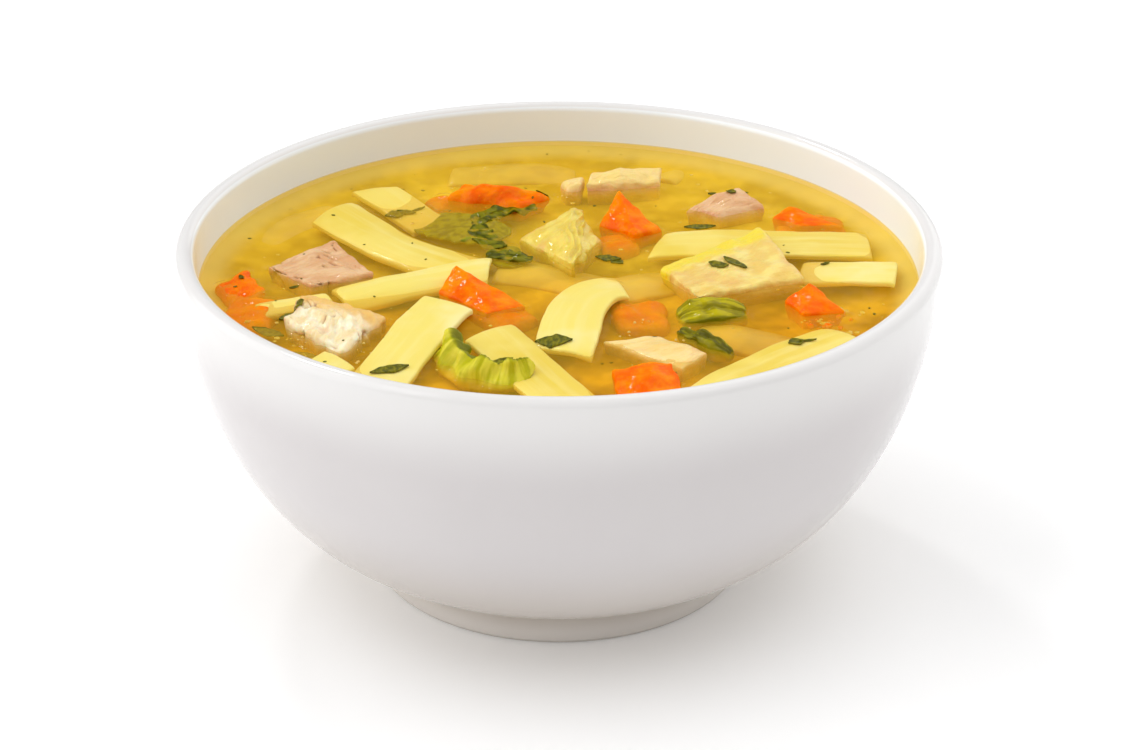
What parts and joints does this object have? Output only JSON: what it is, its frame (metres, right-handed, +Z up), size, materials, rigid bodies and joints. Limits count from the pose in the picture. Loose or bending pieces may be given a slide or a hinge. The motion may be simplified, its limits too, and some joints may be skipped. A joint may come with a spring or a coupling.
{
  "type": "bowl of chicken noodle soup",
  "caption": "Round white footed bowl filled near its rim with clear golden broth, flat noodles, diced chicken, carrot and celery at the surface.",
  "frame": {"origin": "centre of the foot ring's bottom face, on the surface the bowl stands on", "axes": "+Z up along the bowl's axis; -Y is the side shown to the viewer, +X to the viewer's right"},
  "size_m": [0.16, 0.16, 0.076],
  "materials": {
    "porcelain": "white glazed porcelain",
    "broth": "clear golden broth with a wet surface",
    "noodle": "wet pale yellow egg noodle",
    "chicken": "moist poached chicken, tan to cream",
    "carrot": "wet cooked carrot",
    "celery": "wet cooked celery, yellow-green",
    "herb": "chopped parsley leaf"
  },
  "bodies": {
    "root": {"bowl": "porcelain", "broth": "broth", "carrot_01": "carrot", "carrot_02": "carrot", "carrot_03": "carrot", "carrot_04": "carrot", "carrot_05": "carrot", "carrot_06": "carrot", "carrot_07": "carrot", "celery_01": "celery", "celery_02": "celery", "celery_03": "celery", "chicken_01": "chicken", "chicken_02": "chicken", "chicken_03": "chicken", "chicken_04": "chicken", "chicken_05": "chicken", "chicken_06": "chicken", "chicken_07": "chicken", "chicken_08": "chicken", "noodle_01": "noodle", "noodle_02": "noodle", "noodle_03": "noodle", "noodle_04": "noodle", "noodle_05": "noodle", "noodle_06": "noodle", "noodle_07": "noodle", "noodle_08": "noodle", "noodle_09": "noodle", "noodle_10": "noodle", "noodle_11": "noodle"}
  },
  "joints": []
}
